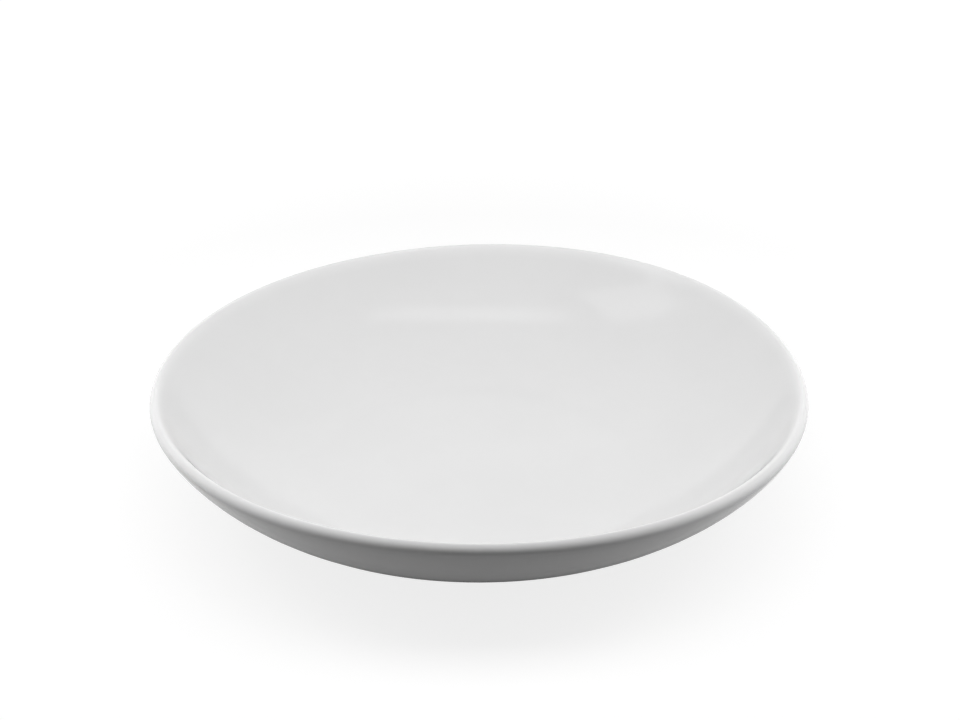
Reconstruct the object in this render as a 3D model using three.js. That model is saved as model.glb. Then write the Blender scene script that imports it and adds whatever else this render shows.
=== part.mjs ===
// Deep coupe plate of thick hotel porcelain: one fired clay body under a white gloss glaze.
// Millimetres, +Z up. The origin is the centre of the plane that the foot ring stands on.
// Every piece is turned about Z, so each one is a closed outline of (radius, height) points.

import * as THREE from 'three';

// Overall sizes, measured over the glaze
const PLATE_DIAMETER = 260;
const PLATE_HEIGHT = 43.5;

// Glaze film
const GLAZE_THICKNESS = 0.3;
const GLAZE_EDGE = 0.12; // what the film thins to where the foot ring is wiped bare
const GLAZE_INTERLAYER = 0.05; // layer where clay and glaze melt together, left clear between the two

// Lip of the clay body: a full outer rounding up to the crest, then a small inner rounding into the well
const LIP_WIDTH = 2.0; // from the crest out to the widest point
const LIP_DROP = 2.45; // from the crest down to the widest point
const LIP_INNER_RADIUS = 0.6;
const LIP_INNER_SLOPE = 62; // degrees, how steeply the well's wall leaves the lip

// Wall: a full shoulder under the lip that runs out into a shallow belly
const SHOULDER_HANDLE = 2.3; // how far the outside stays upright below its widest point
const INNER_SHOULDER_HANDLE = 3.0; // how far the inside keeps the lip's slope
const BELLY_HANDLE = 35.2; // how far the wall keeps the belly's slope outside the foot ring
const BELLY_SLOPE = 14; // degrees, at the foot ring
const WALL_AT_FOOT = 5.0;

// Base and foot ring
const FOOT_DIAMETER = 160; // where the ring's outer flank meets the wall
const FOOT_HEIGHT = 4.3;
const FOOT_DRAFT = 15; // degrees, both flanks from upright
const BEARING_WIDTH = 2.6; // flat, unglazed face that the plate stands on
const BEARING_EDGE_RADIUS = 1.0;
const OUTER_FILLET = 2.0; // between the ring and the wall
const INNER_FILLET = 1.5; // between the ring and the underside
const RECESS_HEIGHT = 2.4; // underside above the table, beside the ring
const RECESS_CROWN = 0.4; // further rise of the underside to its centre
const BASE_THICKNESS = 4.2; // at the centre

// Facets
const TURN_FACETS = 60; // a multiple of four keeps the full diameter along X and Y
const WALL_FACETS = 9;
const LIP_FACETS = 5;
const BLEND_FACETS = 3;
const CORNER_FACETS = 2;

// Sizes that follow from those above
const film = GLAZE_THICKNESS + GLAZE_INTERLAYER;
const rimRadius = PLATE_DIAMETER / 2 - film;
const crestRadius = rimRadius - LIP_WIDTH;
const crestHeight = PLATE_HEIGHT - film;
const undersideTop = RECESS_HEIGHT + RECESS_CROWN;
const floorHeight = undersideTop + BASE_THICKNESS;
const flankLean = Math.tan(THREE.MathUtils.degToRad(FOOT_DRAFT));

function point(radius, height) {
  return new THREE.Vector2(radius, height);
}

// Unit direction at an angle in degrees, counter-clockwise from outward
function heading(degrees) {
  const angle = THREE.MathUtils.degToRad(degrees);
  return point(Math.cos(angle), Math.sin(angle));
}

function step(start, degrees, distance) {
  return start.clone().addScaledVector(heading(degrees), distance);
}

// Length that a rounding takes off each side of a corner
function cornerReach(turn, radius) {
  return radius * Math.tan(THREE.MathUtils.degToRad(Math.abs(turn) / 2));
}

// Arc that rounds the corner where one heading turns into another
function roundCorner(corner, headingIn, headingOut, radius) {
  const turn = headingOut - headingIn;
  const side = 90 * Math.sign(turn);
  const start = step(corner, headingIn, -cornerReach(turn, radius));
  const centre = step(start, headingIn + side, radius);
  return arc(centre, radius, radius, headingIn - side, headingOut - side, CORNER_FACETS);
}

function arc(centre, width, height, fromDegrees, toDegrees, facets) {
  const from = THREE.MathUtils.degToRad(fromDegrees);
  const to = THREE.MathUtils.degToRad(toDegrees);
  return new THREE.EllipseCurve(centre.x, centre.y, width, height, from, to, to < from).getPoints(facets);
}

// Stretches laid end to end, with each shared end kept once
function joinStretches(...stretches) {
  const line = [];
  for (const next of stretches.flat()) {
    const last = line.at(-1);
    if (!last || last.distanceTo(next) > Number.EPSILON * PLATE_DIAMETER) line.push(next);
  }
  return line;
}

// Line moved out of the clay, each point by its own distance, with mitred corners
function offsetLine(line, distances) {
  const normals = line.slice(1).map((end, i) => {
    const run = end.clone().sub(line[i]).normalize();
    return point(run.y, -run.x);
  });
  return line.map((start, i) => {
    const before = normals[i - 1] ?? endNormal(start, normals[i]);
    const after = normals[i] ?? endNormal(start, normals[i - 1]);
    const mitre = before.clone().add(after).divideScalar(1 + before.dot(after));
    return start.clone().addScaledVector(mitre, distances[i]);
  });
}

// Past an end on the axis a line goes on as its mirror image, and past a free end straight on
function endNormal(end, normal) {
  return end.x === 0 ? point(-normal.x, normal.y) : normal;
}

// Foot ring corners and the point where the outer wall would meet the ring
const flankHeading = 90 - FOOT_DRAFT;
const footTop = point(FOOT_DIAMETER / 2, FOOT_HEIGHT);
const bearingOuter = point(footTop.x - FOOT_HEIGHT * flankLean, 0);
const bearingSpan = BEARING_WIDTH + 2 * cornerReach(flankHeading, BEARING_EDGE_RADIUS);
const bearingInner = point(bearingOuter.x - bearingSpan, 0);
const recessEdge = point(bearingInner.x - RECESS_HEIGHT * flankLean, RECESS_HEIGHT);

// Underside, from the centre out to the ring
const undersideMiddle = point(recessEdge.x / 2, undersideTop);
const undersideFall = THREE.MathUtils.radToDeg(recessEdge.clone().sub(undersideMiddle).angle()) - 360;
const recessRounding = roundCorner(recessEdge, undersideFall, -flankHeading, INNER_FILLET);
const undersideCentre = point(0, undersideTop);
const underside = new THREE.QuadraticBezierCurve(undersideCentre, undersideMiddle, recessRounding[0]);

// Rounded edges of the bearing face, which lies flat between them
const innerEdge = roundCorner(bearingInner, -flankHeading, 0, BEARING_EDGE_RADIUS);
const outerEdge = roundCorner(bearingOuter, 0, flankHeading, BEARING_EDGE_RADIUS);

// Outer wall, from the ring up to the widest point
const footRounding = roundCorner(footTop, flankHeading, BELLY_SLOPE, OUTER_FILLET);
const shoulder = point(rimRadius, crestHeight - LIP_DROP);
const outerWall = new THREE.CubicBezierCurve(
  footRounding.at(-1),
  step(footTop, BELLY_SLOPE, BELLY_HANDLE),
  step(shoulder, -90, SHOULDER_HANDLE),
  shoulder,
);

// Lip, over the crest and into the well
const lipOutside = arc(point(crestRadius, shoulder.y), LIP_WIDTH, LIP_DROP, 0, 90, LIP_FACETS);
const lipInside = arc(
  point(crestRadius, crestHeight - LIP_INNER_RADIUS),
  LIP_INNER_RADIUS,
  LIP_INNER_RADIUS,
  90,
  90 + LIP_INNER_SLOPE,
  CORNER_FACETS,
);

// Inner wall, down to the foot ring's radius, then levelling out into the flat floor
const wellTop = lipInside.at(-1);
const wellFoot = step(footTop, BELLY_SLOPE + 90, WALL_AT_FOOT);
const innerWall = new THREE.CubicBezierCurve(
  wellTop,
  step(wellTop, 180 + LIP_INNER_SLOPE, INNER_SHOULDER_HANDLE),
  step(wellFoot, BELLY_SLOPE, BELLY_HANDLE),
  wellFoot,
);
const levelReach = (wellFoot.y - floorHeight) / heading(BELLY_SLOPE).y;
const levelCorner = step(wellFoot, 180 + BELLY_SLOPE, levelReach);
const floorEdge = step(levelCorner, 180, levelReach);
const levelling = new THREE.QuadraticBezierCurve(wellFoot, levelCorner, floorEdge);

// The clay outline in its two glazed stretches, with the bare bearing face between them
const undersideLine = joinStretches(underside.getPoints(BLEND_FACETS), recessRounding, [innerEdge[0]]);
const outsideLine = joinStretches(
  [outerEdge.at(-1)],
  footRounding,
  outerWall.getPoints(WALL_FACETS),
  lipOutside,
  lipInside,
  innerWall.getPoints(WALL_FACETS),
  levelling.getPoints(BLEND_FACETS),
  [point(0, floorHeight)],
);

// Outer and inner faces of the glaze over a clay line that ends on the wiped foot at bareIndex
function glazeFaces(line, bareIndex) {
  const thickness = line.map((_, i) => (i === bareIndex ? GLAZE_EDGE : GLAZE_THICKNESS));
  return {
    outer: offsetLine(line, thickness.map((value) => GLAZE_INTERLAYER + value)),
    inner: offsetLine(line, line.map(() => GLAZE_INTERLAYER)),
  };
}

function turnedPiece(name, outline, material) {
  const mesh = new THREE.Mesh(new THREE.LatheGeometry(outline, TURN_FACETS), material);
  mesh.name = name;
  return mesh;
}

function makePorcelainBody() {
  const outline = joinStretches(undersideLine, innerEdge, outerEdge, outsideLine);
  const bisque = new THREE.MeshStandardMaterial({ color: 0xece8de, roughness: 0.8, metalness: 0 });
  return turnedPiece('porcelain_body', outline, bisque);
}

function makeGlazeCoat() {
  const { outer, inner } = glazeFaces(outsideLine, 0);
  const gloss = new THREE.MeshStandardMaterial({ color: 0xf4f4f2, roughness: 0.08, metalness: 0 });
  return turnedPiece('glaze_coat', [...inner.toReversed(), ...outer], gloss);
}

function makeFootWellGlaze() {
  const { outer, inner } = glazeFaces(undersideLine, undersideLine.length - 1);
  const gloss = new THREE.MeshStandardMaterial({ color: 0xf2f2ef, roughness: 0.12, metalness: 0 });
  return turnedPiece('foot_well_glaze', [...outer, ...inner.toReversed()], gloss);
}

// Lathe work turns about Y, so the finished plate is stood up on Z
const plate = new THREE.Group();
plate.rotation.x = Math.PI / 2;
plate.add(makePorcelainBody(), makeGlazeCoat(), makeFootWellGlaze());

export default plate;
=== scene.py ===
"""Deep coupe plate of thick white porcelain, turned from one section and glazed in two patches."""

import math
from typing import NamedTuple

import bpy
from bpy.props import FloatProperty, FloatVectorProperty, PointerProperty
from mathutils import Matrix, Vector


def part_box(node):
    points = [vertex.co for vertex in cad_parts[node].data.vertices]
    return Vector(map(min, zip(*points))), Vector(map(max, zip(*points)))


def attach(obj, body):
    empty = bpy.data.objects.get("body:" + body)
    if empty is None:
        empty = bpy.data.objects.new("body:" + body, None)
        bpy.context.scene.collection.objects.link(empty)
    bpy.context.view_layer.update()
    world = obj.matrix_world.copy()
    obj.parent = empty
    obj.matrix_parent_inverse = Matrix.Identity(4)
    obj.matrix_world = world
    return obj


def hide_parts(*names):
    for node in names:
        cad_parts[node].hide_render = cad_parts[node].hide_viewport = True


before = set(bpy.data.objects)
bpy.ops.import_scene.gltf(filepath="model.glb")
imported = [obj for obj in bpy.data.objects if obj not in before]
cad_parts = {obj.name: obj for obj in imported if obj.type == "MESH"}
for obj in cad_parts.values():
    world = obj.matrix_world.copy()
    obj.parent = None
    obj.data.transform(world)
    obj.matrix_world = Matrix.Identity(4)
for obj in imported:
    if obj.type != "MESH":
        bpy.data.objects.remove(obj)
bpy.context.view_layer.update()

bl_info = {
    "name": "Deep Coupe Plate",
    "version": (1, 0, 0),
    "blender": (4, 5, 0),
    "location": "View3D > Sidebar > Plate",
    "description": "Turns a glazed porcelain coupe plate and sets it on a studio floor",
    "category": "Add Mesh",
}

COAT_LOW, COAT_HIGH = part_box("glaze_coat")

# How finely the section is drawn and turned
SECTION_STEPS = 14
TURN_STEPS = 144
MERGE_DISTANCE = 1e-6
SMOOTH_ANGLE = math.radians(40)
EDGE_STEPS = 3

# Whitening of the glaze over the lip, partly from the film running thinner there and partly painted highlight
# that lightens the lip and fills the shade just inside it: its share at the crest, how it fades into the
# well, and where it ends below
LIP_FILM_AND_LIGHT = "lip_film_and_light"
CREST_SHARE = 0.5
WELL_FADE = 0.25
FADE_START = 2.4
FADE_RATE = 1.2

# Fine surface of the glaze and of the bare clay
GLAZE_IOR = 1.5
GLAZE_RIPPLE = 0.00004
CLAY_GRAIN = 0.00006

# Floor, a hair under the bearing face
FLOOR_SIZE = 12
FLOOR_GAP = 0.00005

# The frame that the camera fills
IMAGE_WIDTH = 960
IMAGE_HEIGHT = 720
SENSOR_WIDTH = 36.0

# Cards that show in the glaze: place across, back from the plate's middle and up, width and depth
CARDS = {"middle_card": (0.012, 0.063, 0.4, 0.22, 0.06), "left_card": (-0.3, 0.03, 0.4, 0.27, 0.14)}


def length(name, description, default):
    """Property for a size in metres."""
    return FloatProperty(
        name=name, description=description, default=default, min=0, unit="LENGTH", precision=5
    )


def angle(name, description, degrees):
    """Property for an angle, given here in degrees."""
    return FloatProperty(
        name=name, description=description, default=math.radians(degrees), subtype="ANGLE", unit="ROTATION"
    )


def colour(name, description, default):
    """Property for a linear colour."""
    return FloatVectorProperty(
        name=name, description=description, default=default, size=3, min=0, max=1, subtype="COLOR"
    )


def amount(name, description, default):
    """Property for a plain number."""
    return FloatProperty(name=name, description=description, default=default, min=0)


class PlateSizes(bpy.types.PropertyGroup):
    """Sizes of the clay body and its glaze"""

    diameter: length("Diameter", "Over the glaze, across the widest point", COAT_HIGH.x - COAT_LOW.x)
    height: length("Height", "Over the glaze, from the table to the crest of the lip", COAT_HIGH.z)
    glaze: length("Glaze", "Thickness of the glaze film", 0.0003)
    interlayer: length("Interlayer", "Layer between clay and glaze, left clear", 0.00005)
    glaze_edge: length("Glaze edge", "Rounding of the film where the foot is wiped bare", 0.00018)
    lip_width: length("Lip width", "From the crest out to the widest point", 0.002)
    lip_drop: length("Lip drop", "From the crest down to the widest point", 0.00275)
    lip_top: length("Lip top", "How far the lip stays level outside its crest", 0.0004)
    lip_side: length("Lip side", "How far the lip stays upright above its widest point", 0.0017)
    lip_inner_radius: length("Lip inner radius", "Rounding from the crest into the well", 0.0018)
    lip_inner_slope: angle("Lip inner slope", "How steeply the well leaves the lip", 30)
    shoulder_handle: length("Shoulder", "How far the outside stays upright under the lip", 0.0023)
    inner_shoulder_handle: length("Inner shoulder", "How far the inside keeps the lip's slope", 0.003)
    belly_handle: length("Belly", "How far the wall keeps the belly's slope", 0.0352)
    belly_slope: angle("Belly slope", "Slope of the wall beside the foot ring", 14)
    wall_at_foot: length("Wall at foot", "Thickness of the wall over the foot ring", 0.005)
    foot_diameter: length("Foot diameter", "Where the ring's outer flank meets the wall", 0.160)
    foot_height: length("Foot height", "From the table up to the wall", 0.0043)
    foot_draft: angle("Foot draft", "Lean of the ring's flanks from upright", 15)
    bearing_width: length("Bearing width", "Flat bare face that the plate stands on", 0.0026)
    bearing_edge: length("Bearing edge", "Rounding on both sides of the bearing face", 0.001)
    outer_fillet: length("Outer fillet", "Rounding between the ring and the wall", 0.002)
    inner_fillet: length("Inner fillet", "Rounding between the ring and the underside", 0.0015)
    recess_height: length("Recess height", "Underside above the table, beside the ring", 0.0024)
    recess_crown: length("Recess crown", "Further rise of the underside to its centre", 0.0004)
    base_thickness: length("Base thickness", "At the centre of the plate", 0.0042)


class KilnWarp(bpy.types.PropertyGroup):
    """How the rim moved in the kiln"""

    saddle: length("Saddle", "Rise of two opposite stretches of the rim", 0.00155)
    saddle_turn: angle("Saddle direction", "Where the first of the two stretches is", 69.2)
    trefoil: length("Trefoil", "Rise of three stretches of the rim", 0.00047)
    trefoil_turn: angle("Trefoil direction", "Where the first of the three stretches is", 37.9)


class PlateColours(bpy.types.PropertyGroup):
    """Colours of the fired surfaces and of the stage"""

    glaze: colour("Glaze", "Clear white glaze over porcelain", (0.85, 0.85, 0.85))
    glaze_shade: colour("Glaze shade", "Glaze where the film lies thicker", (0.825, 0.825, 0.825))
    # Lip colour: partly glaze running thinner over the lip, partly painted highlight that makes the lip
    # lighter than the lamps alone do
    lip_glaze_and_light: colour("Glaze on the lip", "Glaze where the film runs thin over the lip", (0.98, 0.98, 0.98))
    clay: colour("Clay", "Bare fired porcelain", (0.74, 0.71, 0.655))
    clay_shade: colour("Clay shade", "Bare clay in its greyer patches", (0.6, 0.575, 0.53))
    speck: colour("Speck", "Iron speck under the glaze", (0.16, 0.13, 0.1))
    rub: colour("Rub mark", "Grey trace of a table on the bare foot", (0.34, 0.335, 0.33))
    floor: colour("Floor", "Plain pale floor, as the camera sees it", (0.25, 0.25, 0.25))
    floor_bounce: colour("Floor bounce", "What the floor throws back onto the plate", (0.25, 0.25, 0.25))


class StudioSettings(bpy.types.PropertyGroup):
    """Camera and light"""

    camera_distance: length("Camera distance", "From the middle of the rim", 1.04)
    camera_elevation: angle("Camera elevation", "Above the table", 27.55)
    camera_roll: angle("Camera roll", "Turn about the line of sight", -0.33)
    lens: FloatProperty(name="Lens", description="Focal length", default=98.4, unit="CAMERA")
    aim_x: amount("Aim across", "Pixel column of the rim's middle", 478.8)
    aim_y: amount("Aim down", "Pixel row of the rim's middle", 380.1)
    panel_reach: length("Panel reach", "From the middle of the plate out to the side and back panels", 0.5)
    panel_height: length("Panel height", "From the table up to the top panel", 0.42)
    top_front: length("Top panel front", "How far the top panel comes forward of the plate's middle", 0.18)
    top_back: length("Top panel back", "How far the top panel goes back from the plate's middle", 0.1)
    side_front: length("Side panel front", "How far the side panels come forward of the plate's middle", 0.33)
    top_light: amount("Top light", "Brightness of the panel over the plate", 2.25)
    side_light: amount("Side lights", "Brightness of the panels beside the plate", 1.65)
    back_light: amount("Back light", "Brightness of the panel behind the plate", 0.25)
    card_light: amount("Cards", "Brightness of the two pale cards that show in the glaze", 0.85)
    world: amount("World", "Strength of the room's own light", 0.02)
    floor_glow: amount("Floor glow", "White added to the floor near the plate; 1 hides all shadow", 0.82)


class Knot(NamedTuple):
    """Point of a section curve with its direction and its two handle lengths."""

    point: Vector
    heading: float
    arriving: float
    leaving: float


def step(start, heading, distance):
    """Point at a distance from start, with the heading counted up from outwards."""
    return start + distance * Vector((math.cos(heading), math.sin(heading)))


def corner_knots(corner, heading_in, heading_out, radius, before=0.0, after=0.0):
    """Two knots that round a corner, with the handle lengths of the stretches before and after it."""
    turn = abs(heading_out - heading_in)
    reach = radius * math.tan(turn / 2)
    handle = radius * math.tan(turn / 4) * 4 / 3
    start = Knot(step(corner, heading_in, -reach), heading_in, before, handle)
    end = Knot(step(corner, heading_out, reach), heading_out, handle, after)
    return start, end


def clay_section(size):
    """Knots of the clay's half section: glazed underside, bare bearing face and glazed outside."""
    film = size.glaze + size.interlayer
    level, upright = 0.0, math.pi / 2
    flank = upright - size.foot_draft
    lean = math.tan(size.foot_draft)

    foot_top = Vector((size.foot_diameter / 2, size.foot_height))
    bearing_outer = Vector((foot_top.x - size.foot_height * lean, 0))
    bearing_span = size.bearing_width + 2 * size.bearing_edge * math.tan(flank / 2)
    bearing_inner = Vector((bearing_outer.x - bearing_span, 0))
    recess_edge = Vector((bearing_inner.x - size.recess_height * lean, size.recess_height))

    underside_centre = Vector((0, size.recess_height + size.recess_crown))
    underside_fall = -math.atan2(size.recess_crown, recess_edge.x / 2)
    underside_handle = recess_edge.x / 3
    recess = corner_knots(recess_edge, underside_fall, -flank, size.inner_fillet, before=underside_handle)
    inner_edge = corner_knots(bearing_inner, -flank, level, size.bearing_edge)
    outer_edge = corner_knots(bearing_outer, level, flank, size.bearing_edge)
    underside = [Knot(underside_centre, level, 0, underside_handle), *recess, inner_edge[0]]
    bearing = [inner_edge[1], outer_edge[0]]

    foot_reach = size.outer_fillet * math.tan((flank - size.belly_slope) / 2)
    belly_handle = size.belly_handle - foot_reach
    foot = corner_knots(foot_top, flank, size.belly_slope, size.outer_fillet, after=belly_handle)

    crest = Vector((size.diameter / 2 - film - size.lip_width, size.height - film))
    shoulder = crest + Vector((size.lip_width, -size.lip_drop))
    well_slope = math.pi + size.lip_inner_slope
    lip_turn = size.lip_inner_slope
    lip_handle = size.lip_inner_radius * math.tan(lip_turn / 4) * 4 / 3
    lip_centre = crest + Vector((0, -size.lip_inner_radius))
    well_top = step(lip_centre, upright + lip_turn, size.lip_inner_radius)

    floor_centre = Vector((0, size.recess_height + size.recess_crown + size.base_thickness))
    well_foot = step(foot_top, size.belly_slope + upright, size.wall_at_foot)
    level_reach = (well_foot.y - floor_centre.y) / math.sin(size.belly_slope)
    level_corner = step(well_foot, math.pi + size.belly_slope, level_reach)
    floor_edge = level_corner - Vector((level_reach, 0))
    level_handle = level_reach * 2 / 3
    outside = [
        outer_edge[1],
        *foot,
        Knot(shoulder, upright, size.shoulder_handle, size.lip_side),
        Knot(crest, math.pi, size.lip_top, lip_handle),
        Knot(well_top, well_slope, lip_handle, size.inner_shoulder_handle),
        Knot(well_foot, math.pi + size.belly_slope, size.belly_handle, level_handle),
        Knot(floor_edge, math.pi, level_handle, 0),
        Knot(floor_centre, math.pi, 0, 0),
    ]
    return underside, bearing, outside


def deselect_all():
    if bpy.context.object and bpy.context.object.mode != "OBJECT":
        bpy.ops.object.mode_set(mode="OBJECT")
    bpy.ops.object.select_all(action="DESELECT")


def draw_section(context, name, knots):
    """Half section as a chain of edges in the XZ plane, drawn with a Bezier curve."""
    deselect_all()
    bpy.ops.curve.primitive_bezier_curve_add(location=(0, 0, 0))
    section = context.object
    section.name = name
    section.data.resolution_u = SECTION_STEPS
    spline = section.data.splines[0]
    spline.bezier_points.add(len(knots) - len(spline.bezier_points))
    for bezier, knot in zip(spline.bezier_points, knots):
        bezier.handle_left_type = bezier.handle_right_type = "FREE"
        before = step(knot.point, knot.heading, -knot.arriving)
        after = step(knot.point, knot.heading, knot.leaving)
        bezier.co = (knot.point.x, 0, knot.point.y)
        bezier.handle_left = (before.x, 0, before.y)
        bezier.handle_right = (after.x, 0, after.y)
    bpy.ops.object.convert(target="MESH")
    section = context.object
    section.data.name = name
    return section


def turn_section(context):
    """Turns the active section about Z into one closed skin with its poles merged."""
    bpy.ops.object.mode_set(mode="EDIT")
    bpy.ops.mesh.select_all(action="SELECT")
    bpy.ops.mesh.spin(steps=TURN_STEPS, angle=math.tau, center=(0, 0, 0), axis=(0, 0, 1))
    bpy.ops.mesh.select_all(action="SELECT")
    bpy.ops.mesh.remove_doubles(threshold=MERGE_DISTANCE)
    bpy.ops.mesh.normals_make_consistent(inside=False)
    bpy.ops.object.mode_set(mode="OBJECT")


def pole_normal(piece):
    """Normal of the face nearest to the axis."""
    return min(piece.data.polygons, key=lambda face: face.center.xy.length).normal


def face_up_at_pole(piece, up):
    """Turns an open sheet over if the face at its pole looks the wrong way."""
    if (pole_normal(piece).z > 0) == up:
        return
    bpy.ops.object.mode_set(mode="EDIT")
    bpy.ops.mesh.select_all(action="SELECT")
    bpy.ops.mesh.flip_normals()
    bpy.ops.object.mode_set(mode="OBJECT")


def apply_modifier(context, kind, **settings):
    """Adds a modifier to the active piece, sets it and applies it."""
    bpy.ops.object.modifier_add(type=kind)
    modifier = context.object.modifiers[-1]
    for setting, value in settings.items():
        setattr(modifier, setting, value)
    bpy.ops.object.modifier_apply(modifier=modifier.name)


def warp_rim(context, piece):
    """Lifts and lowers the rim as the kiln did. The foot ring stays flat."""
    warp = context.scene.kiln_warp
    size = context.scene.plate_sizes
    foot, rim = size.foot_diameter / 2, size.diameter / 2
    most = warp.saddle + warp.trefoil
    signs = {"lift": 1, "sag": -1}
    groups = {name: piece.vertex_groups.new(name=name) for name in signs}
    for vertex in piece.data.vertices:
        share = (vertex.co.xy.length - foot) / (rim - foot)
        if share <= 0:
            continue
        turn = math.atan2(vertex.co.y, vertex.co.x)
        rise = warp.saddle * math.cos(2 * (turn - warp.saddle_turn))
        rise += warp.trefoil * math.cos(3 * (turn - warp.trefoil_turn))
        weight = rise / most * share**2
        groups["lift" if weight > 0 else "sag"].add([vertex.index], abs(weight), "REPLACE")
    for name, sign in signs.items():
        apply_modifier(
            context, "DISPLACE", direction="Z", mid_level=0, strength=sign * most, vertex_group=name
        )
    bpy.ops.object.vertex_group_remove(all=True)


def mark_lip_film_and_light(context, piece):
    """Stores at each vertex how much the glaze is whitened, partly for the film running thinner over the lip
    and partly as painted highlight: most outside the crest, fading into the well, none below the lip.
    """
    size = context.scene.plate_sizes
    crest = size.diameter / 2 - size.lip_width
    thin_and_lit = piece.data.attributes.new(LIP_FILM_AND_LIGHT, "FLOAT", "POINT")
    for vertex, mark in zip(piece.data.vertices, thin_and_lit.data):
        below = (size.height - vertex.co.z) / size.lip_drop
        outside = (vertex.co.xy.length - crest) / size.lip_width
        over_crest = CREST_SHARE + (outside if outside > 0 else outside * WELL_FADE)
        mark.value = max(0.0, min(1.0, FADE_START - FADE_RATE * below, over_crest))


def glaze_skin(context, name, knots, up):
    """Film of glaze over a stretch of the clay, with a rounded edge at the wiped foot."""
    size = context.scene.plate_sizes
    piece = draw_section(context, name, knots)
    turn_section(context)
    face_up_at_pole(piece, up)
    bpy.ops.object.mode_set(mode="EDIT")
    bpy.ops.mesh.select_all(action="SELECT")
    bpy.ops.transform.shrink_fatten(value=size.interlayer)
    bpy.ops.object.mode_set(mode="OBJECT")
    apply_modifier(context, "SOLIDIFY", thickness=size.glaze, offset=1, use_even_offset=True)
    round_wiped_edge(context, piece, size.glaze_edge)
    return piece


def round_wiped_edge(context, piece, radius):
    """Bevels the lowest ring of edges, where the film ends on the foot."""
    lowest = min(vertex.co.z for vertex in piece.data.vertices)
    bpy.ops.object.mode_set(mode="EDIT")
    bpy.ops.mesh.select_mode(type="VERT")
    bpy.ops.mesh.select_all(action="DESELECT")
    bpy.ops.object.mode_set(mode="OBJECT")
    for vertex in piece.data.vertices:
        vertex.select = vertex.co.z < lowest + MERGE_DISTANCE
    bpy.ops.object.mode_set(mode="EDIT")
    bpy.ops.mesh.bevel(offset=radius, segments=EDGE_STEPS, affect="EDGES")
    bpy.ops.object.mode_set(mode="OBJECT")


def finish_piece(piece, material, node):
    """Smooths a piece, gives it its finish and sets it in place of its CAD node."""
    bpy.ops.object.shade_smooth_by_angle(angle=SMOOTH_ANGLE)
    piece.data.materials.clear()
    piece.data.materials.append(material)
    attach(piece, "root")
    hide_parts(node)


class NodeTree:
    """Short calls for building a node tree."""

    def __init__(self, tree):
        self.tree = tree

    def add(self, kind, settings=None, **inputs):
        """Adds a node, sets its options and links or sets its inputs by name or number."""
        node = self.tree.nodes.new(kind)
        for setting, value in (settings or {}).items():
            setattr(node, setting, value)
        for name, value in inputs.items():
            self.feed(node.inputs[name.replace("_", " ")], value)
        return node

    def feed(self, socket, value):
        if isinstance(value, bpy.types.NodeSocket):
            self.tree.links.new(value, socket)
        else:
            socket.default_value = value

    def math(self, operation, first, second=0.0, clamp=False):
        node = self.tree.nodes.new("ShaderNodeMath")
        node.operation = operation
        node.use_clamp = clamp
        self.feed(node.inputs[0], first)
        self.feed(node.inputs[1], second)
        return node.outputs[0]

    def blend(self, share, first, second):
        """Colour between two others."""
        node = self.tree.nodes.new("ShaderNodeMix")
        node.data_type = "RGBA"
        for socket, value in zip((node.inputs[0], node.inputs[6], node.inputs[7]), (share, first, second)):
            self.feed(socket, value)
        return node.outputs[2]

    def between(self, value, low, high, from_low=0.0, from_high=1.0):
        """Value mapped from one range to another, held to its ends."""
        node = self.tree.nodes.new("ShaderNodeMapRange")
        for socket, number in zip(node.inputs[:5], (value, from_low, from_high, low, high)):
            self.feed(socket, number)
        return node.outputs[0]


def new_group(name, inputs, outputs):
    """Empty shader node group with float sockets, and a Vector input first."""
    tree = bpy.data.node_groups.new(name, "ShaderNodeTree")
    tree.interface.new_socket("Vector", in_out="INPUT", socket_type="NodeSocketVector")
    for socket, default in inputs:
        made = tree.interface.new_socket(socket, in_out="INPUT", socket_type="NodeSocketFloat")
        made.default_value = default
    for socket in outputs:
        tree.interface.new_socket(socket, in_out="OUTPUT", socket_type="NodeSocketFloat")
    nodes = NodeTree(tree)
    return nodes, nodes.add("NodeGroupInput"), nodes.add("NodeGroupOutput")


def fired_mottle_group():
    """Broad cloudy patches of tone, as a fired surface has."""
    name = "fired_mottle"
    if name in bpy.data.node_groups:
        return bpy.data.node_groups[name]
    nodes, given, result = new_group(name, [("Patch Size", 0.05), ("Contrast", 1.0)], ["Tone"])
    scale = nodes.math("DIVIDE", 1.0, given.outputs["Patch Size"])
    clouds = nodes.add(
        "ShaderNodeTexNoise", {}, Vector=given.outputs["Vector"], Scale=scale, Detail=3.0, Roughness=0.55
    )
    centred = nodes.math("SUBTRACT", clouds.outputs["Fac"], 0.5)
    spread = nodes.math("MULTIPLY", centred, nodes.math("MULTIPLY", given.outputs["Contrast"], 2.0))
    nodes.feed(result.inputs["Tone"], nodes.math("ADD", spread, 0.5, clamp=True))
    return nodes.tree


def kiln_specks_group():
    """Rare dark specks, one at most in each cell of a coarse grid of random points."""
    name = "kiln_specks"
    if name in bpy.data.node_groups:
        return bpy.data.node_groups[name]
    nodes, given, result = new_group(
        name, [("Spacing", 0.03), ("Speck Size", 0.0004), ("Share", 0.2)], ["Speck"]
    )
    scale = nodes.math("DIVIDE", 1.0, given.outputs["Spacing"])
    cells = nodes.add("ShaderNodeTexVoronoi", {}, Vector=given.outputs["Vector"], Scale=scale)
    lottery = nodes.add("ShaderNodeSeparateColor", {}, Color=cells.outputs["Color"])
    chosen = nodes.math("LESS_THAN", lottery.outputs["Red"], given.outputs["Share"])
    radius = nodes.math("MULTIPLY", given.outputs["Speck Size"], scale)
    inside = nodes.between(cells.outputs["Distance"], 1.0, 0.0, 0.0, radius)
    nodes.feed(result.inputs["Speck"], nodes.math("MULTIPLY", inside, chosen))
    return nodes.tree


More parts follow.
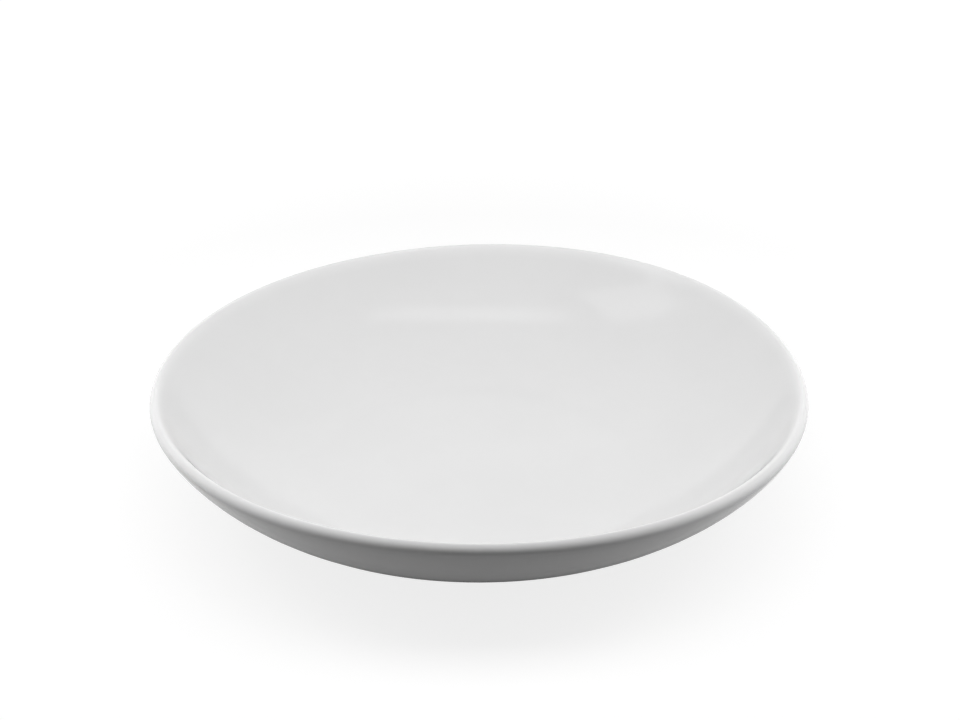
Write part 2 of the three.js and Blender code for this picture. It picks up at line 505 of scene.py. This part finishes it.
def ripple_group():
    """Slight waviness of a surface, as a height."""
    name = "glaze_ripple"
    if name in bpy.data.node_groups:
        return bpy.data.node_groups[name]
    nodes, given, result = new_group(
        name, [("Wave Size", 0.02), ("Peel Size", 0.003), ("Peel", 0.2)], ["Height"]
    )
    waves = nodes.add(
        "ShaderNodeTexNoise",
        {},
        Vector=given.outputs["Vector"],
        Scale=nodes.math("DIVIDE", 1.0, given.outputs["Wave Size"]),
        Detail=1.0,
    )
    peel = nodes.add(
        "ShaderNodeTexNoise",
        {},
        Vector=given.outputs["Vector"],
        Scale=nodes.math("DIVIDE", 1.0, given.outputs["Peel Size"]),
        Detail=1.0,
    )
    fine = nodes.math("MULTIPLY", peel.outputs["Fac"], given.outputs["Peel"])
    nodes.feed(result.inputs["Height"], nodes.math("ADD", waves.outputs["Fac"], fine))
    return nodes.tree


def rgba(value):
    return (*value, 1.0)


def new_material(name):
    """Empty material with a Principled shader and Object coordinates."""
    material = bpy.data.materials.new(name)
    material.use_nodes = True
    material.node_tree.nodes.clear()
    nodes = NodeTree(material.node_tree)
    shader = nodes.add("ShaderNodeBsdfPrincipled")
    output = nodes.add("ShaderNodeOutputMaterial")
    nodes.feed(output.inputs["Surface"], shader.outputs["BSDF"])
    place = nodes.add("ShaderNodeTexCoord").outputs["Object"]
    return material, nodes, shader, place


def gloss_glaze(context, name, gloss, dull):
    """White gloss glaze: cloudy tone, rare specks, uneven gloss and a slight ripple."""
    colours = context.scene.plate_colours
    material, nodes, shader, place = new_material(name)
    mottle = nodes.add("ShaderNodeGroup", {"node_tree": fired_mottle_group()}, Vector=place)
    specks = nodes.add("ShaderNodeGroup", {"node_tree": kiln_specks_group()}, Vector=place)
    ripple = nodes.add("ShaderNodeGroup", {"node_tree": ripple_group()}, Vector=place)
    # Painted highlight on the lip, partly also its thinner glaze: the glaze is blended towards the lip colour
    # over the crest and just inside it
    thin_and_lit = nodes.add("ShaderNodeAttribute", {"attribute_name": LIP_FILM_AND_LIGHT}).outputs["Fac"]
    cloudy = nodes.blend(mottle.outputs["Tone"], rgba(colours.glaze), rgba(colours.glaze_shade))
    white = nodes.blend(thin_and_lit, cloudy, rgba(colours.lip_glaze_and_light))
    specked = nodes.blend(specks.outputs["Speck"], white, rgba(colours.speck))
    bump = nodes.add(
        "ShaderNodeBump", {}, Strength=1.0, Distance=GLAZE_RIPPLE, Height=ripple.outputs["Height"]
    )
    nodes.feed(shader.inputs["Base Color"], specked)
    nodes.feed(shader.inputs["Roughness"], nodes.between(mottle.outputs["Tone"], gloss, dull))
    nodes.feed(shader.inputs["Normal"], bump.outputs["Normal"])
    shader.inputs["IOR"].default_value = GLAZE_IOR
    return material


def bare_clay(context, name):
    """Bare fired porcelain: matt, finely grained, with grey rub marks."""
    colours = context.scene.plate_colours
    material, nodes, shader, place = new_material(name)
    mottle = nodes.add("ShaderNodeGroup", {"node_tree": fired_mottle_group()}, Vector=place, Patch_Size=0.008)
    rubs = nodes.add(
        "ShaderNodeGroup", {"node_tree": fired_mottle_group()}, Vector=place, Patch_Size=0.004, Contrast=2.0
    )
    grain = nodes.add(
        "ShaderNodeGroup",
        {"node_tree": ripple_group()},
        Vector=place,
        Wave_Size=0.0009,
        Peel_Size=0.0003,
        Peel=0.7,
    )
    clay = nodes.blend(mottle.outputs["Tone"], rgba(colours.clay), rgba(colours.clay_shade))
    rub_share = nodes.between(rubs.outputs["Tone"], 0.0, 0.3, 0.4, 1.0)
    rubbed = nodes.blend(rub_share, clay, rgba(colours.rub))
    bump = nodes.add(
        "ShaderNodeBump", {}, Strength=0.6, Distance=CLAY_GRAIN, Height=grain.outputs["Height"]
    )
    nodes.feed(shader.inputs["Base Color"], rubbed)
    nodes.feed(shader.inputs["Roughness"], nodes.between(mottle.outputs["Tone"], 0.7, 0.9))
    nodes.feed(shader.inputs["Normal"], bump.outputs["Normal"])
    return material


class PLATE_OT_porcelain_body(bpy.types.Operator):
    """Turn the clay body from its half section"""

    bl_idname = "coupe_plate.porcelain_body"
    bl_label = "Porcelain body"

    def execute(self, context):
        underside, bearing, outside = clay_section(context.scene.plate_sizes)
        piece = draw_section(context, "clay_body", [*underside, *bearing, *outside])
        turn_section(context)
        warp_rim(context, piece)
        finish_piece(piece, bare_clay(context, "bare_porcelain"), "porcelain_body")
        return {"FINISHED"}


class PLATE_OT_outer_glaze(bpy.types.Operator):
    """Lay the film of glaze over the well, the lip and the outside"""

    bl_idname = "coupe_plate.outer_glaze"
    bl_label = "Outer glaze"

    def execute(self, context):
        outside = clay_section(context.scene.plate_sizes)[2]
        piece = glaze_skin(context, "outer_glaze", outside, up=True)
        # Stores the share of painted highlight and thinner glaze on the lip
        mark_lip_film_and_light(context, piece)
        warp_rim(context, piece)
        finish_piece(piece, gloss_glaze(context, "white_gloss_glaze", 0.06, 0.1), "glaze_coat")
        return {"FINISHED"}


class PLATE_OT_foot_glaze(bpy.types.Operator):
    """Lay the film of glaze on the underside, inside the foot ring"""

    bl_idname = "coupe_plate.foot_glaze"
    bl_label = "Foot glaze"

    def execute(self, context):
        underside = clay_section(context.scene.plate_sizes)[0]
        piece = glaze_skin(context, "foot_glaze", underside, up=False)
        finish_piece(piece, gloss_glaze(context, "foot_gloss_glaze", 0.1, 0.18), "foot_well_glaze")
        return {"FINISHED"}


class PLATE_OT_studio(bpy.types.Operator):
    """Set the floor, the softboxes and the camera"""

    bl_idname = "coupe_plate.studio"
    bl_label = "Studio"

    def execute(self, context):
        add_floor(context)
        add_light(context)
        add_camera(context)
        context.scene.view_settings.view_transform = "Standard"
        return {"FINISHED"}


def add_floor(context):
    """Pale floor that keeps the plate's shadow and goes to white further out."""
    studio = context.scene.studio_settings
    colours = context.scene.plate_colours
    foot = context.scene.plate_sizes.foot_diameter / 2
    rim = context.scene.plate_sizes.diameter / 2
    deselect_all()
    bpy.ops.mesh.primitive_plane_add(size=FLOOR_SIZE, location=(0, 0, -FLOOR_GAP))
    floor = context.object
    floor.name = "floor"
    material, nodes, shader, place = new_material("pale_floor")
    path = nodes.add("ShaderNodeLightPath").outputs
    radius = nodes.add("ShaderNodeVectorMath", {"operation": "LENGTH"}, Vector=place).outputs["Value"]
    open_floor = nodes.between(radius, 0.0, 1.0, foot, rim)
    mirrored = nodes.math("MAXIMUM", path["Is Glossy Ray"], path["Is Transmission Ray"])
    mirrored = nodes.math("MULTIPLY", mirrored, open_floor)
    shown = nodes.math("MAXIMUM", path["Is Camera Ray"], mirrored)
    glow = nodes.between(radius, studio.floor_glow, 1.0, 2 * rim, studio.panel_reach)
    glow = nodes.math("MULTIPLY", glow, shown)
    tone = nodes.blend(shown, rgba(colours.floor_bounce), rgba(colours.floor))
    nodes.feed(shader.inputs["Base Color"], tone)
    nodes.feed(shader.inputs["Emission Color"], nodes.blend(glow, (0, 0, 0, 1), (1, 1, 1, 1)))
    shader.inputs["Emission Strength"].default_value = 1.0
    shader.inputs["Roughness"].default_value = 1.0
    shader.inputs["Specular IOR Level"].default_value = 0.0
    floor.data.materials.append(material)


def add_panel(context, name, location, facing, width, depth, brightness, mirrored=False):
    """Flat panel out of the camera's sight, which lights the plate or else only shows in its gloss.

    Brightness 1 is that of a white sky.
    """
    deselect_all()
    bpy.ops.object.light_add(type="AREA", location=location)
    lamp = context.object
    lamp.name = name
    lamp.data.shape = "RECTANGLE"
    lamp.data.size, lamp.data.size_y = width, depth
    lamp.data.energy = math.pi * width * depth * brightness
    lamp.rotation_euler = Vector(facing).to_track_quat("-Z", "Y").to_euler()
    lamp.visible_camera = False
    lamp.visible_diffuse = not mirrored
    lamp.visible_glossy = mirrored


def add_light(context):
    """Softboxes above, beside and behind the plate, in a dim room."""
    studio = context.scene.studio_settings
    reach, height = studio.panel_reach, studio.panel_height
    top_depth = studio.top_back + studio.top_front
    top_place = (0, studio.top_back - top_depth / 2, height)
    add_panel(context, "top_panel", top_place, (0, 0, -1), 2 * reach, top_depth, studio.top_light)
    side_depth = reach + studio.side_front
    for side, name in ((-1, "left_panel"), (1, "right_panel")):
        place = (side * reach, reach - side_depth / 2, height / 2)
        add_panel(context, name, place, (-side, 0, 0), height, side_depth, studio.side_light)
    add_panel(context, "back_panel", (0, reach, height / 2), (0, -1, 0), 2 * reach, height, studio.back_light)
    for name, (across, back, up, width, depth) in CARDS.items():
        add_panel(
            context, name, (across, back, up), (0, 0, -1), width, depth, studio.card_light, mirrored=True
        )
    world = bpy.data.worlds.new("studio_room")
    world.use_nodes = True
    world.node_tree.nodes.clear()
    nodes = NodeTree(world.node_tree)
    path = nodes.add("ShaderNodeLightPath").outputs
    shown = nodes.math("MAXIMUM", path["Is Camera Ray"], path["Is Glossy Ray"])
    shown = nodes.math("MAXIMUM", shown, path["Is Transmission Ray"])
    strength = nodes.between(shown, studio.world, 1.0)
    background = nodes.add("ShaderNodeBackground", {}, Color=(1, 1, 1, 1), Strength=strength)
    output = nodes.add("ShaderNodeOutputWorld")
    nodes.feed(output.inputs["Surface"], background.outputs["Background"])
    context.scene.world = world


def add_camera(context):
    studio = context.scene.studio_settings
    target = Vector((0, 0, context.scene.plate_sizes.height))
    elevation = studio.camera_elevation
    back = Vector((0, -math.cos(elevation), math.sin(elevation)))
    deselect_all()
    bpy.ops.object.camera_add(location=target + back * studio.camera_distance)
    camera = context.object
    camera.data.sensor_width = SENSOR_WIDTH
    camera.data.lens = studio.lens
    pixel = SENSOR_WIDTH / IMAGE_WIDTH / studio.lens
    across = math.atan((studio.aim_x - IMAGE_WIDTH / 2) * pixel)
    down = math.atan((studio.aim_y - IMAGE_HEIGHT / 2) * pixel)
    turned = back.to_track_quat("Z", "Y").to_matrix()
    turned = turned @ Matrix.Rotation(down, 3, "X") @ Matrix.Rotation(across, 3, "Y")
    turned = turned @ Matrix.Rotation(studio.camera_roll, 3, "Z")
    camera.rotation_euler = turned.to_euler()
    context.scene.camera = camera


class PLATE_PT_sidebar(bpy.types.Panel):
    """Sizes, colours and buttons of the plate"""

    bl_label = "Coupe Plate"
    bl_idname = "PLATE_PT_sidebar"
    bl_space_type = "VIEW_3D"
    bl_region_type = "UI"
    bl_category = "Plate"

    def draw(self, context):
        for group in SETTINGS:
            box = self.layout.box()
            settings = getattr(context.scene, group)
            for name in settings.__annotations__:
                box.prop(settings, name)
        for operator in OPERATORS:
            self.layout.operator(operator.bl_idname)


SETTINGS = {
    "plate_sizes": PlateSizes,
    "kiln_warp": KilnWarp,
    "plate_colours": PlateColours,
    "studio_settings": StudioSettings,
}
OPERATORS = [PLATE_OT_porcelain_body, PLATE_OT_outer_glaze, PLATE_OT_foot_glaze, PLATE_OT_studio]
CLASSES = [*SETTINGS.values(), *OPERATORS, PLATE_PT_sidebar]


def register():
    for cls in CLASSES:
        bpy.utils.register_class(cls)
    for name, cls in SETTINGS.items():
        setattr(bpy.types.Scene, name, PointerProperty(type=cls))


def unregister():
    for name in SETTINGS:
        delattr(bpy.types.Scene, name)
    for cls in reversed(CLASSES):
        bpy.utils.unregister_class(cls)


def main():
    register()
    bpy.ops.coupe_plate.porcelain_body()
    bpy.ops.coupe_plate.outer_glaze()
    bpy.ops.coupe_plate.foot_glaze()
    bpy.ops.coupe_plate.studio()


if __name__ == "__main__":
    main()
